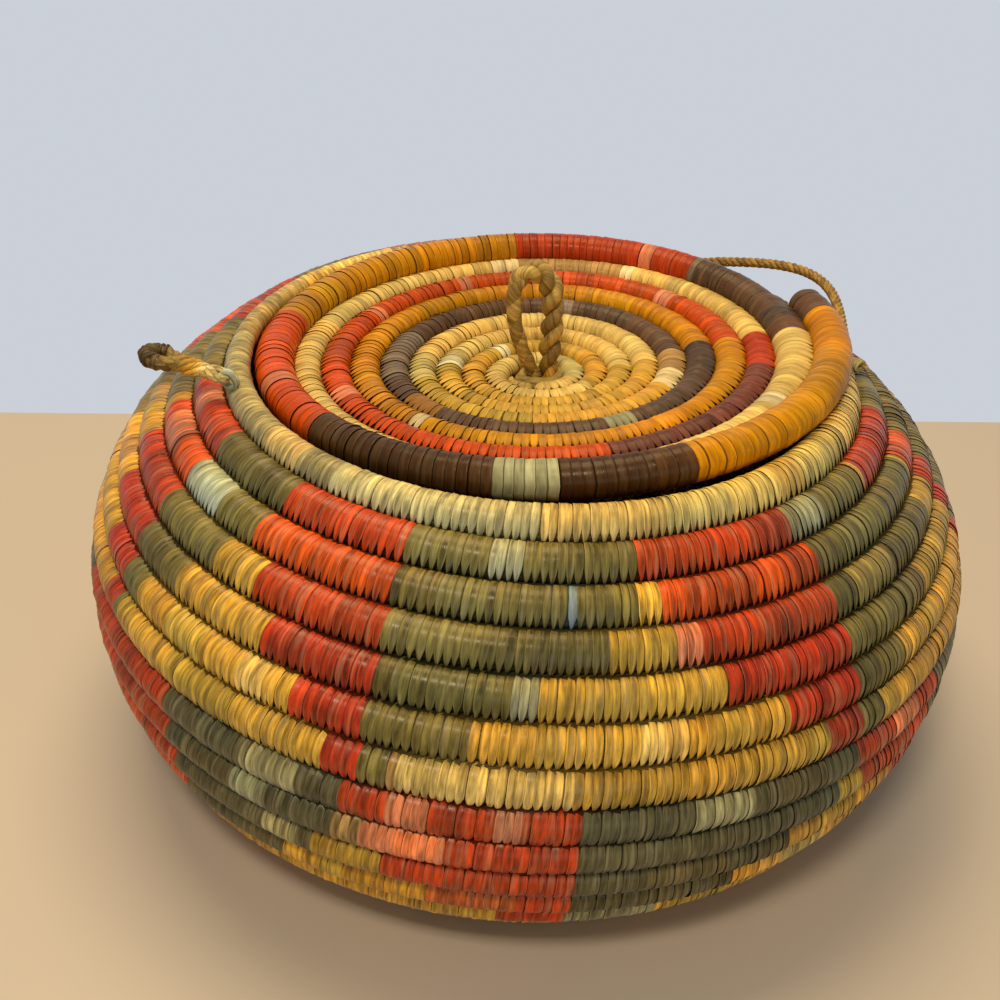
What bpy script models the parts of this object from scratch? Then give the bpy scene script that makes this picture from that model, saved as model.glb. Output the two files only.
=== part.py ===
"""Lidded basket, coiled and stitched from raffia: body, lid, knob loop and two rim loops.

Metres, +Z up. The origin is the centre of the flat base, on the surface that it stands on.
Both coils are wound from their middle, as a basket maker winds them. Seen from above, the
body's coil rises clockwise and the lid's coil grows counter-clockwise.
"""
import math

import bpy
import bmesh
import numpy as np
from mathutils import Matrix, Vector

# Clearances
TURN_GAP = 0.0005           # between neighbouring turns of a coil
SEAT_GAP = 0.0003           # between pieces that touch
LEG_GAP = 0.0006            # between the two legs of a loop

# Body: one cord, wound as a flat base and then up the wall
BODY_CORD = 0.00918
BODY_START = 0.0061         # radius at which the base's coil begins
BASE_TURNS = 7.42
WALL_TURNS = 15.1
RIM_END_AZ = 50.0           # where the coil runs out, degrees from +X
RIM_TAPER_TURNS = 0.8       # the cord thins out over this much of its last turn
RIM_TAPER_TIP = 0.35        # and ends at this share of its thickness
# Lean of the wall from the outward level, against turns above the base
WALL_LEAN = ((0.0, 0.0), (1.5, 29.0), (3.0, 51.0), (4.5, 66.0), (6.0, 80.0), (7.5, 92.0),
             (9.0, 109.0), (10.5, 123.0), (12.0, 138.0), (13.5, 145.0), (15.0, 132.0))

# Lid: one cord from the middle hole out, with a thicker raised last turn
LID_CORD = 0.0071
LID_START_CORD = 0.0050
LID_START = 0.0070
LID_CORD_TURNS = 5.0        # turns over which the cord reaches its full thickness
LID_EDGE_CORD = 0.0095
LID_EDGE_RISE = 0.0040      # last turn above the one inside it
LID_DISH = 0.0071           # further fall from there to the middle
LID_EDGE_BLEND = 0.3        # turns in which the cord climbs to the last turn
LID_END_AZ = 34.0
LID_END_INSET = 0.0052      # the lid's outer end inside the middle of the rim's cord below it
LID_OVAL = 0.03             # the lid is wider from side to side and narrower from front to back
LID_SHIFT = (0.0010, 0.0035)
LID_TILT = 3.5              # degrees, because the coil's end stands higher on the rim
LID_TILT_AZ = 13.0          # direction in which the tilted lid rises

# Knob loop on the lid, with its stopper knot below
KNOB_CORD = 0.0039
KNOB_HEIGHT = 0.0310
KNOB_HALF_WIDTH = 0.0062
KNOB_LEAN = -1.5            # degrees, towards -X
KNOB_AZ = 22.0
KNOT_RADIUS = 0.0072
KNOT_HEIGHT = 0.0072

# Left loop: a short doubled loop that points outwards
LEFT_CORD = 0.0036
LEFT_AZ = 201.0
LEFT_POINT_AZ = 176.0       # the loop lies askew to the rim
LEFT_REACH = 0.0205
LEFT_RISE = 14.0
LEFT_TIP_RADIUS = 0.0037
LEFT_BEND = 0.0024          # bend of the cord beside its lashing
LEFT_PERCH = 57.0           # direction from the rim's cord to the hinge, above the level
BINDING_START = 0.312 * LEFT_REACH
BINDING_LENGTH = 0.312 * LEFT_REACH
BINDING_WALL = 0.0007

# Right loop: a long thin loop that lies round the lid
RIGHT_CORD = 0.0028
RIGHT_FRONT_AZ = 4.0
RIGHT_BACK_AZ = 62.0
RIGHT_BULGE = 0.0210
RIGHT_RISE = 17.0
RIGHT_FOOT = 0.0026         # straight run each side of a lashing

LASHING_STRAND = 0.0011

# Mesh fineness
BODY_POINTS = 24
LID_POINTS = 20
COIL_SIDES = 1              # bevel resolution: 6 sides
CORD_SIDES = 2              # bevel resolution: 8 sides
FINE = 8                    # steps of the winding sum between two points of a turn
KNOT_STEPS = 24             # steps along the knot's profile when it is seated

PITCH = BODY_CORD + TURN_GAP
FLAT_CUT = BODY_CORD / 10.0
BODY_TURNS = BASE_TURNS + WALL_TURNS


def clear_scene():
    for obj in list(bpy.data.objects):
        bpy.data.objects.remove(obj, do_unlink=True)


def new_collection(name):
    collection = bpy.data.collections.new(name)
    bpy.context.scene.collection.children.link(collection)
    return collection


def material(name, colour, roughness):
    mat = bpy.data.materials.new(name)
    mat.use_nodes = True
    shader = mat.node_tree.nodes["Principled BSDF"]
    shader.inputs["Base Color"].default_value = (*colour, 1.0)
    shader.inputs["Roughness"].default_value = roughness
    shader.inputs["Metallic"].default_value = 0.0
    mat.diffuse_color = (*colour, 1.0)
    return mat


def smooth(value):
    """Eases from 0 to 1."""
    value = min(max(value, 0.0), 1.0)
    return value * value * (3.0 - 2.0 * value)


def polar(radius, azimuth, z):
    angle = math.radians(azimuth)
    return Vector((radius * math.cos(angle), radius * math.sin(angle), z))


def wall_lean(turns_up):
    """Lean of the wall in radians, straight between the listed heights."""
    rows, leans = zip(*WALL_LEAN)
    return math.radians(float(np.interp(turns_up, rows, leans)))


def spiral_pitch(pitch, radius, points):
    """Widens a pitch for the slant of a tight spiral and for the flats between its points."""
    slant = math.hypot(1.0, pitch / (2.0 * math.pi * radius))
    return pitch * slant / math.cos(math.pi / points)


def wind_body():
    """The body's coil from the middle: radius, height, cord radius, azimuth and lean."""
    step = 1.0 / (BODY_POINTS * FINE)
    count = round(BODY_TURNS / step)
    profile = [(BODY_START, BODY_CORD / 2.0 - FLAT_CUT)]
    for index in range(count):
        lean = wall_lean((index + 0.5) * step - BASE_TURNS)
        radius, z = profile[-1]
        run = spiral_pitch(PITCH, radius, BODY_POINTS) * step
        profile.append((radius + run * math.cos(lean), z + run * math.sin(lean)))
    rows = []
    for index, (radius, z) in enumerate(profile):
        turns_left = (count - index) * step
        share = 1.0 - (1.0 - RIM_TAPER_TIP) * smooth(1.0 - turns_left / RIM_TAPER_TURNS)
        cord = BODY_CORD / 2.0 * share
        if turns_left < RIM_TAPER_TURNS:
            # The thinner cord sinks on to the turn below it
            below = rows[index - BODY_POINTS * FINE]
            reach = math.hypot(radius - below[0], z - below[1])
            keep = (below[2] + cord + TURN_GAP) / reach
            radius = below[0] + (radius - below[0]) * keep
            z = below[1] + (z - below[1]) * keep
        lean = wall_lean(index * step - BASE_TURNS)
        rows.append((radius, z, cord, RIM_END_AZ + 360.0 * turns_left, lean))
    return rows


def lid_cord(turn, total):
    """Radius of the lid's cord after so many turns."""
    grown = min(turn / LID_CORD_TURNS, 1.0)
    thickness = LID_START_CORD + (LID_CORD - LID_START_CORD) * grown
    edge = smooth((turn - (total - 1.0 - LID_EDGE_BLEND)) / LID_EDGE_BLEND)
    return (thickness + (LID_EDGE_CORD - thickness) * edge) / 2.0


def lid_height(turn, total, radius, field):
    """Height of the lid's cord against its raised last turn."""
    edge = smooth((turn - (total - 1.0 - LID_EDGE_BLEND)) / (2.0 * LID_EDGE_BLEND))
    dish = LID_DISH * 0.5 * (1.0 + math.cos(math.pi * min(radius / field, 1.0)))
    return -(1.0 - edge) * (LID_EDGE_RISE + dish)


def wind_lid(total, field):
    """Radius, height and cord radius of the lid's coil for so many turns in all."""
    per_turn = LID_POINTS * FINE
    count = round(total * per_turn)
    rows = []
    radius = LID_START
    for index in range(count + 1):
        turn = index / per_turn
        cord = lid_cord(turn, total)
        z = lid_height(turn, total, radius, field)
        if index < per_turn:
            rows.append((radius, z, cord))
            radius += spiral_pitch(2.0 * cord + TURN_GAP, radius, LID_POINTS) / per_turn
            continue
        inner = rows[index - per_turn]
        reach = spiral_pitch(cord + inner[2] + TURN_GAP, inner[0], LID_POINTS)
        out = inner[0] + math.sqrt(reach ** 2 - (z - inner[1]) ** 2)
        rows.append((out, z, cord))
        radius = out
    return rows


def wind_lid_to(edge_radius):
    """The lid's coil with as many turns as bring its end to the given radius."""
    field = edge_radius - LID_EDGE_CORD
    low, high = 3.0, 24.0
    for _ in range(24):
        total = (low + high) / 2.0
        if wind_lid(total, field)[-1][0] < edge_radius:
            low = total
        else:
            high = total
    rows = wind_lid(low, field)
    last = len(rows) - 1
    turn = 360.0 / (LID_POINTS * FINE)
    return [(*row, LID_END_AZ - (last - index) * turn, 0.0) for index, row in enumerate(rows)]


def coil_points(rows):
    """Place, radius and tilt of the points of the cord's curve, back from its outer end."""
    picked = list(range(len(rows) - 1, -1, -FINE))[::-1]
    return [(polar(rows[i][0], rows[i][3], rows[i][1]), rows[i][2], rows[i][4]) for i in picked]


def densify(points):
    """Centres and radii on the straight runs between a curve's points."""
    centres, radii = [], []
    for (start, start_r, _), (end, end_r, _) in zip(points, points[1:]):
        for part in range(4):
            centres.append(start.lerp(end, part / 4.0))
            radii.append(start_r + (end_r - start_r) * part / 4.0)
    return np.array(centres), np.array(radii)


def least_self_gap(name, points):
    """Measures on points how close the coil's turns come to each other, and prints it."""
    centres, radii = densify(points)
    steps = np.linalg.norm(np.diff(centres, axis=0), axis=1)
    along = np.concatenate([[0.0], np.cumsum(steps)])
    least = 1.0
    for index in range(len(centres)):
        apart = along > along[index] + 8.0 * radii[index]
        if apart.any():
            reach = np.linalg.norm(centres[apart] - centres[index], axis=1)
            least = min(least, float((reach - radii[apart] - radii[index]).min()))
    print(f"{name}: least gap between its turns {least * 1000.0:.2f} mm")
    return least


def tube(name, points, sides, mat, collection, closed=False):
    """A cord as one curve, from (place, radius, tilt) points."""
    curve = bpy.data.curves.new(name, "CURVE")
    curve.dimensions = "3D"
    curve.twist_mode = "Z_UP"
    curve.bevel_depth = 1.0
    curve.bevel_resolution = sides
    curve.use_fill_caps = not closed
    spline = curve.splines.new("POLY")
    spline.points.add(len(points) - 1)
    for point, (place, radius, tilt) in zip(spline.points, points):
        point.co = (*place, 1.0)
        point.radius = radius
        point.tilt = tilt
    spline.use_cyclic_u = closed
    spline.use_smooth = True
    curve.materials.append(mat)
    obj = bpy.data.objects.new(name, curve)
    collection.objects.link(obj)
    return obj


def smooth_path(places, count, closed=False):
    """Evenly spaced points on a smooth curve through the given places."""
    size = len(places)
    dense = []
    spans = size if closed else size - 1
    for index in range(spans):
        if closed:
            a, b, c, d = (places[(index + k) % size] for k in (-1, 0, 1, 2))
        else:
            b, c = places[index], places[index + 1]
            a = places[index - 1] if index else b * 2.0 - c
            d = places[index + 2] if index + 2 < size else c * 2.0 - b
        for part in range(16):
            t = part / 16.0
            dense.append(0.5 * (2.0 * b + (c - a) * t + (2.0 * a - 5.0 * b + 4.0 * c - d) * t ** 2
                                + (3.0 * b - a - 3.0 * c + d) * t ** 3))
    dense.append(places[0] if closed else places[-1])
    line = np.array(dense)
    along = np.concatenate([[0.0], np.cumsum(np.linalg.norm(np.diff(line, axis=0), axis=1))])
    wanted = np.linspace(0.0, along[-1], count + 1 if closed else count)
    picked = [Vector([np.interp(w, along, line[:, k]) for k in range(3)]) for w in wanted]
    return picked[:-1] if closed else picked


def as_mesh(obj):
    """The evaluated curve as a mesh object of its own, with welded caps."""
    depsgraph = bpy.context.evaluated_depsgraph_get()
    mesh = bpy.data.meshes.new_from_object(obj.evaluated_get(depsgraph))
    work = bmesh.new()
    work.from_mesh(mesh)
    bmesh.ops.remove_doubles(work, verts=work.verts, dist=1e-6)
    work.to_mesh(mesh)
    work.free()
    name = obj.name
    collection = obj.users_collection[0]
    matrix = obj.matrix_world.copy()
    bpy.data.objects.remove(obj, do_unlink=True)
    result = bpy.data.objects.new(name, mesh)
    result.matrix_world = matrix
    collection.objects.link(result)
    return result


def floor_cutter(collection, width):
    """A block whose top is the surface that the basket stands on."""
    mesh = bpy.data.meshes.new("floor_cutter")
    work = bmesh.new()
    bmesh.ops.create_cube(work, size=1.0, matrix=Matrix.Diagonal((width, width, BODY_CORD, 1.0)))
    work.to_mesh(mesh)
    work.free()
    cutter = bpy.data.objects.new("floor_cutter", mesh)
    cutter.location.z = -BODY_CORD / 2.0
    cutter.hide_render = True
    cutter.display_type = "WIRE"
    collection.objects.link(cutter)
    return cutter


def build_body(rows, parts, cutters):
    mat = material("raffia_body", (0.55, 0.36, 0.10), 0.5)
    points = coil_points(rows)
    least_self_gap("body_coil", points)
    body = as_mesh(tube("body_coil", points, COIL_SIDES, mat, parts))
    widest = max(row[0] for row in rows)
    cut = body.modifiers.new("flat_base", "BOOLEAN")
    cut.operation = "DIFFERENCE"
    cut.solver = "EXACT"
    cut.object = floor_cutter(cutters, 3.0 * widest)
    body.data.shade_smooth()
    return body


def rim_at(rows, azimuth, turns_down):
    """Radius, height and cord radius of the body's coil below the rim at an azimuth."""
    top = (azimuth - RIM_END_AZ) % 360.0 / 360.0
    index = len(rows) - 1 - round((top + turns_down) * BODY_POINTS * FINE)
    return rows[index][:3]


def lid_place(body_rows, lid_rows):
    """The lid's resting place: lowered, tilted, until one cord touches the other."""
    turn = Matrix.Rotation(-math.radians(LID_TILT), 4, polar(1.0, LID_TILT_AZ + 90.0, 0.0))
    shift = Matrix.Translation((*LID_SHIFT, 0.0))
    tilted = shift @ turn @ Matrix.Diagonal((1.0 + LID_OVAL, 1.0 - LID_OVAL, 1.0, 1.0))
    lid = [(tilted @ place, radius, tilt) for place, radius, tilt in coil_points(lid_rows)]
    lid_centres, lid_radii = densify(lid)
    rim_centres, rim_radii = densify(coil_points(body_rows)[-3 * BODY_POINTS:])
    drop = -1.0
    for centre, radius in zip(lid_centres, lid_radii):
        level = np.linalg.norm(rim_centres[:, :2] - centre[:2], axis=1)
        reach = rim_radii + radius + SEAT_GAP
        near = level < reach
        if near.any():
            height = rim_centres[near, 2] + np.sqrt(reach[near] ** 2 - level[near] ** 2)
            drop = max(drop, float(height.max() - centre[2]))
    return Matrix.Translation((0.0, 0.0, drop)) @ tilted


def build_lid(rows, place, parts):
    mat = material("raffia_lid", (0.50, 0.22, 0.05), 0.45)
    points = coil_points(rows)
    least_self_gap("lid_coil", points)
    lid = tube("lid_coil", points, COIL_SIDES, mat, parts)
    lid.matrix_world = place
    return lid


def knob_path(hole_z, leg_end):
    """The knob's loop, from its knot up through the lid and back, in the lid's own frame."""
    foot = (KNOB_CORD + LEG_GAP) / 2.0
    side = ((foot, leg_end), (foot, hole_z), (0.72 * KNOB_HALF_WIDTH, hole_z + 0.24 * KNOB_HEIGHT),
            (KNOB_HALF_WIDTH, hole_z + 0.52 * KNOB_HEIGHT),
            (0.80 * KNOB_HALF_WIDTH, hole_z + 0.86 * KNOB_HEIGHT))
    lean = math.tan(math.radians(KNOB_LEAN))
    outline = [(-w, z) for w, z in side] + [(0.0, hole_z + KNOB_HEIGHT)]
    outline += [(w, z) for w, z in reversed(side)]
    turn = Matrix.Rotation(math.radians(KNOB_AZ), 4, "Z")
    places = []
    for width, z in outline:
        leaned = lean * max(z - hole_z, 0.0)
        places.append(turn @ Vector((width, 0.0, z)) + Vector((leaned, 0.0, 0.0)))
    return places


def knot_middle(lid_rows):
    """Height of the knot's middle where it is drawn up against the lid's first turn."""
    half = KNOT_HEIGHT / 2.0
    lowest = 1.0
    for radius, z, cord in (row[:3] for row in lid_rows[:LID_POINTS * FINE]):
        reach = cord + SEAT_GAP
        for step in range(KNOT_STEPS + 1):
            angle = math.pi / 2.0 * step / KNOT_STEPS
            aside = radius - KNOT_RADIUS * math.sin(angle)
            if abs(aside) < reach:
                below = math.sqrt(reach ** 2 - aside ** 2) + half * math.cos(angle)
                lowest = min(lowest, z - below)
    return lowest


def build_knob(lid_rows, place, parts):
    mat = material("raffia_cord", (0.36, 0.24, 0.06), 0.6)
    _, middle_z, middle_cord = lid_rows[0][:3]
    knot_z = knot_middle(lid_rows)
    leg_end = knot_z + KNOT_HEIGHT / 2.0 + SEAT_GAP
    path = smooth_path(knob_path(middle_z + middle_cord, leg_end), 30)
    points = [(place_on, KNOB_CORD / 2.0, 0.0) for place_on in path]
    loop = tube("lid_knob_loop", points, CORD_SIDES, mat, parts)
    loop.matrix_world = place
    mesh = bpy.data.meshes.new("lid_knob_knot")
    work = bmesh.new()
    bmesh.ops.create_uvsphere(work, u_segments=12, v_segments=8, radius=1.0)
    half = KNOT_HEIGHT / 2.0
    bmesh.ops.scale(work, vec=(KNOT_RADIUS, KNOT_RADIUS, half), verts=work.verts)
    bmesh.ops.translate(work, vec=(0.0, 0.0, knot_z), verts=work.verts)
    work.to_mesh(mesh)
    work.free()
    mesh.shade_smooth()
    mesh.materials.append(mat)
    knot = bpy.data.objects.new("lid_knob_knot", mesh)
    knot.matrix_world = place
    parts.objects.link(knot)


def frame_at(origin, outward, along):
    """A matrix with X outwards and Y along a hinge's axis."""
    up = outward.cross(along)
    columns = Matrix((outward, along, up)).transposed()
    return Matrix.Translation(origin) @ columns.to_4x4()


def add_lashing(name, cord, matrix, mat, parts):
    """A ring of raffia round a cord that lies along the frame's Y."""
    strand = LASHING_STRAND / 2.0
    major = cord / 2.0 + SEAT_GAP + strand
    turn = Matrix.Rotation(math.radians(90.0), 4, "X")
    bpy.ops.mesh.primitive_torus_add(major_segments=16, minor_segments=6, major_radius=major,
                                     minor_radius=strand)
    ring = bpy.context.object
    ring.name = name
    ring.matrix_world = matrix @ turn
    ring.data.materials.append(mat)
    ring.data.shade_smooth()
    for collection in list(ring.users_collection):
        collection.objects.unlink(ring)
    parts.objects.link(ring)
    return ring


def lashing_reach(cord):
    """Distance from a cord's middle to the outside of its lashing."""
    return cord / 2.0 + SEAT_GAP + LASHING_STRAND


def left_hinge(body_rows):
    """Where the left loop hangs on: outside the lid's edge, perched on the rim's cord."""
    radius, z, cord = rim_at(body_rows, LEFT_AZ, 0.0)
    reach = cord + SEAT_GAP + lashing_reach(LEFT_CORD)
    perch = math.radians(LEFT_PERCH)
    return polar(radius + reach * math.cos(perch), LEFT_AZ, z + reach * math.sin(perch))


def build_left_loop(body_rows, parts):
    mat = material("raffia_left_loop", (0.30, 0.20, 0.06), 0.6)
    hinge = left_hinge(body_rows)
    outward = polar(1.0, LEFT_POINT_AZ, 0.0)
    along = Vector((0.0, 0.0, 1.0)).cross(outward)
    rise = Matrix.Rotation(-math.radians(LEFT_RISE), 4, along)
    frame = frame_at(hinge, rise.to_3x3() @ outward, along)
    rest = LASHING_STRAND / 2.0 + SEAT_GAP
    corner = LEFT_BEND * math.sin(math.pi / 4.0)
    leg = (LEFT_CORD + LEG_GAP) / 2.0
    binding_end = BINDING_START + BINDING_LENGTH
    side = ((0.0, rest), (LEFT_BEND - corner, rest + corner), (LEFT_BEND, rest + LEFT_BEND),
            (BINDING_START, leg), (binding_end, leg),
            (LEFT_REACH - 1.6 * LEFT_TIP_RADIUS, LEFT_TIP_RADIUS),
            (LEFT_REACH - 0.5 * LEFT_TIP_RADIUS, 0.85 * LEFT_TIP_RADIUS))
    outline = [Vector((x, -y, 0.0)) for x, y in side] + [Vector((LEFT_REACH, 0.0, 0.0))]
    outline += [Vector((x, y, 0.0)) for x, y in reversed(side)]
    path = smooth_path(outline, 36, closed=True)
    points = [(place, LEFT_CORD / 2.0, 0.0) for place in path]
    loop = tube("left_loop", points, CORD_SIDES, mat, parts, closed=True)
    loop.matrix_world = frame
    build_binding(frame, leg, parts)
    add_lashing("left_lashing", LEFT_CORD, frame, mat, parts)
    print("left loop hinge", [round(v, 5) for v in hinge], "axis", [round(v, 5) for v in along])


def stadium(half_run, radius, steps):
    """A closed outline with round ends, from level half runs."""
    outline = []
    for end in (1.0, -1.0):
        for index in range(steps + 1):
            angle = math.pi * (index / steps - 0.5) + (0.0 if end > 0 else math.pi)
            outline.append((end * half_run + radius * math.cos(angle), radius * math.sin(angle)))
    return outline


def build_binding(frame, leg, parts):
    """The wrap round both legs of the left loop: a flat sleeve."""
    mat = material("raffia_yellow", (0.75, 0.42, 0.05), 0.5)
    curve = bpy.data.curves.new("left_loop_binding", "CURVE")
    curve.dimensions = "2D"
    curve.fill_mode = "BOTH"
    curve.extrude = BINDING_LENGTH / 2.0
    inner = LEFT_CORD / 2.0 + SEAT_GAP
    for radius in (inner + BINDING_WALL, inner):
        outline = stadium(leg, radius, 6)
        spline = curve.splines.new("POLY")
        spline.points.add(len(outline) - 1)
        for point, (x, y) in zip(spline.points, outline):
            point.co = (x, y, 0.0, 1.0)
        spline.use_cyclic_u = True
    curve.materials.append(mat)
    sleeve = bpy.data.objects.new("left_loop_binding", curve)
    parts.objects.link(sleeve)
    # The outline's X lies along the hinge's axis, and its extrusion along the legs
    turn = Matrix(((0.0, 0.0, 1.0), (1.0, 0.0, 0.0), (0.0, 1.0, 0.0))).to_4x4()
    middle = Matrix.Translation((BINDING_START + BINDING_LENGTH / 2.0, 0.0, 0.0))
    sleeve.matrix_world = frame @ middle @ turn


def valley(body_rows, azimuth, outer_radius):
    """The middle of a round thing seated between the rim turn and the next one."""
    upper = rim_at(body_rows, azimuth, 0.0)
    lower = rim_at(body_rows, azimuth, 1.0)
    if upper[2] < BODY_CORD / 2.0 - TURN_GAP:
        upper, lower = lower, rim_at(body_rows, azimuth, 2.0)
    run = Vector((lower[0] - upper[0], lower[1] - upper[1]))
    out = Vector((-run.y, run.x)).normalized()
    middle = Vector(((upper[0] + lower[0]) / 2.0, (upper[1] + lower[1]) / 2.0))
    reach = BODY_CORD / 2.0 + SEAT_GAP + outer_radius
    height = math.sqrt(reach ** 2 - (run.length / 2.0) ** 2)
    seat = middle + out * height
    return polar(seat.x, azimuth, seat.y)


def build_right_loop(body_rows, parts):
    mat = material("raffia_right_loop", (0.42, 0.28, 0.09), 0.6)
    front = valley(body_rows, RIGHT_FRONT_AZ, lashing_reach(RIGHT_CORD))
    back = valley(body_rows, RIGHT_BACK_AZ, lashing_reach(RIGHT_CORD))
    along = (back - front).normalized()
    outward = along.cross(Vector((0.0, 0.0, 1.0))).normalized()
    span = (back - front).length
    rise = Matrix.Rotation(math.radians(RIGHT_RISE), 4, -along)
    bulge = rise.to_3x3() @ outward
    if bulge.z < 0.0:
        bulge = rise.inverted().to_3x3() @ outward
    count = 26
    points = []
    for index in range(count + 1):
        run = -RIGHT_FOOT + (span + 2.0 * RIGHT_FOOT) * index / count
        share = min(max((run - RIGHT_FOOT) / (span - 2.0 * RIGHT_FOOT), 0.0), 1.0)
        depth = RIGHT_BULGE * math.sin(math.pi * share) ** 1.3
        points.append((front + along * run + bulge * depth, RIGHT_CORD / 2.0, 0.0))
    tube("right_loop", points, CORD_SIDES, mat, parts)
    for name, place in (("right_lashing_front", front), ("right_lashing_back", back)):
        add_lashing(name, RIGHT_CORD, frame_at(place, outward, along), mat, parts)
    print("right loop hinge", [round(v, 5) for v in front], "axis", [round(v, 5) for v in along])


def main():
    clear_scene()
    parts = new_collection("lidded_basket")
    cutters = new_collection("cutters")
    body_rows = wind_body()
    build_body(body_rows, parts, cutters)
    rim_radius, _, _ = rim_at(body_rows, LID_END_AZ, 0.0)
    lid_rows = wind_lid_to(rim_radius - LID_END_INSET)
    place = lid_place(body_rows, lid_rows)
    build_lid(lid_rows, place, parts)
    build_knob(lid_rows, place, parts)
    build_left_loop(body_rows, parts)
    build_right_loop(body_rows, parts)
    print("belly radius", max(row[0] + row[2] for row in body_rows))
    print("rim height", max(row[1] + row[2] for row in body_rows))
    print("turns: body", BODY_TURNS, "lid", (len(lid_rows) - 1) / (LID_POINTS * FINE))
    print("lid middle", list(place.translation))


main()
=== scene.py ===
"""Looks of the lidded basket: dyed raffia ribbons stitched over its two coils, and its cord loops.

The coils are wound here from the same driving sizes as the part's own source. Each stitch is a
ribbon of its own round the coil; its ends lie between two stitches of the turn before it.
"""
import math

import bpy
import numpy as np
from mathutils import Matrix, Vector


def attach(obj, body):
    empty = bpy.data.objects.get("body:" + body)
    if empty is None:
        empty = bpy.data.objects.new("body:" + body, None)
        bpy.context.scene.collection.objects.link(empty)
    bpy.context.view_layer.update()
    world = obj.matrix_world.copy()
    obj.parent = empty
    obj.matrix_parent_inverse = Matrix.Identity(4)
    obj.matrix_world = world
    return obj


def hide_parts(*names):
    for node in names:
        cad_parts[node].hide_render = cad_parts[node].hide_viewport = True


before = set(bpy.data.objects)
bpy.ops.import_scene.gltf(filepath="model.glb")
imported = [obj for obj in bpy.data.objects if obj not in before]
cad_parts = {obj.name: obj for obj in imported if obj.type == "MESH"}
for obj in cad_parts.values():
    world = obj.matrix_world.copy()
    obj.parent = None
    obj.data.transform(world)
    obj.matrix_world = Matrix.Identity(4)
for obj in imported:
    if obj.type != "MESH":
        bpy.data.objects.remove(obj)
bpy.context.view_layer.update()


rng = np.random.default_rng(7)

# Sizes of the part, in metres
TURN_GAP = 0.0005
SEAT_GAP = 0.0003
LEG_GAP = 0.0006
BODY_CORD = 0.00918
BODY_START = 0.0061
BASE_TURNS = 7.42
WALL_TURNS = 15.1
RIM_END_AZ = 50.0
RIM_TAPER_TURNS = 0.8
RIM_TAPER_TIP = 0.35
WALL_LEAN = ((0.0, 0.0), (1.5, 29.0), (3.0, 51.0), (4.5, 66.0), (6.0, 80.0), (7.5, 92.0),
             (9.0, 109.0), (10.5, 123.0), (12.0, 138.0), (13.5, 145.0), (15.0, 132.0))
LID_CORD = 0.0071
LID_START_CORD = 0.0050
LID_START = 0.0070
LID_CORD_TURNS = 5.0
LID_EDGE_CORD = 0.0095
LID_EDGE_RISE = 0.0040
LID_DISH = 0.0071
LID_EDGE_BLEND = 0.3
LID_END_AZ = 21.0
LID_END_INSET = 0.0052
LID_OVAL = 0.03
LID_SHIFT = (0.0010, 0.0035)
LID_TILT = 3.5
LID_TILT_AZ = 13.0
KNOB_CORD = 0.0039
KNOB_HEIGHT = 0.0310
KNOB_HALF_WIDTH = 0.0062
KNOB_LEAN = -1.5
KNOB_AZ = 22.0
KNOT_RADIUS = 0.0072
KNOT_HEIGHT = 0.0072
LEFT_CORD = 0.0036
LEFT_AZ = 201.0
LEFT_POINT_AZ = 176.0
LEFT_REACH = 0.0205
LEFT_RISE = 14.0
LEFT_TIP_RADIUS = 0.0037
LEFT_BEND = 0.0024
LEFT_PERCH = 57.0
BINDING_START = 0.312 * LEFT_REACH
BINDING_LENGTH = 0.312 * LEFT_REACH
RIGHT_CORD = 0.0028
RIGHT_FRONT_AZ = 4.0
RIGHT_BACK_AZ = 62.0
RIGHT_BULGE = 0.0210
RIGHT_RISE = 17.0
RIGHT_FOOT = 0.0026
LASHING_STRAND = 0.0011
BODY_POINTS = 24
LID_POINTS = 20
FINE = 8
KNOT_STEPS = 24
DENSE = 4                   # steps between two points when the lid is set down
LID_TURNS = (3.0, 24.0)     # between these the count of the lid's turns is sought
HALVINGS = 24
PITCH = BODY_CORD + TURN_GAP
FLAT_CUT = BODY_CORD / 10.0
BODY_TURNS = BASE_TURNS + WALL_TURNS

# Sizes of the raffia. Shares of a cord's size are of its radius, those of a stitch of its width
RIBBON = 0.0020             # width of a stitch
RIBBON_LEAN = 4.0           # degrees
LID_RIBBON_LEAN = -2.0
BUNDLE = 0.92               # the bundle inside its wrapping
BODY_SPREAD = 1.05          # the bundle between two rows
LID_SPREAD = 0.92
CLOSEST = 0.35              # no two stitches lie closer
DRIFT = 0.75                # stitches too few or too many, before one comes in or is left out
EVENING_ROUNDS = 10
PLACE_JITTER = 0.09
PETAL_SPREAD, ROOT_SPREAD, WOBBLE = 0.12, 0.09, 0.05
TILT, TILT_SPREAD, HEIGHT_SPREAD = 0.00004, 0.00005, 0.00005
STRAND_STITCHES = (3, 12)   # stitches that one strand gives
END_LENGTH = 1.1            # radii over which a cord's end rounds off
FLOOR_GAP = 0.00001
BUNDLE_GAP_SHADE = 0.2            # of its dye, on the bundle between the stitches: painted shade where the bundle shows in the gaps
BUNDLE_STEPS, BUNDLE_SIDES = 72, 12
PATH_STEPS = 16             # between two places of a smooth path
LASHING_STEP = 0.00075      # between the rounds of a lashing
KNOB_SETTLED = -2.7         # degrees that the loop leans further than its solid
KNOB_LAY = 0.0115           # length in which the knob's plies turn once
KNOT_STRAND = 0.0021
START_TAIL = 95.0           # degrees


def smooth(value):
    value = min(max(value, 0.0), 1.0)
    return value * value * (3.0 - 2.0 * value)


def circle(count):
    return np.linspace(0.0, math.tau, count, endpoint=False)


def polar(radius, azimuth, z):
    angle = math.radians(azimuth)
    return Vector((radius * math.cos(angle), radius * math.sin(angle), z))


def placed(matrix, points):
    grid = np.array(matrix)
    return np.asarray(points) @ grid[:3, :3].T + grid[:3, 3]


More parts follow.
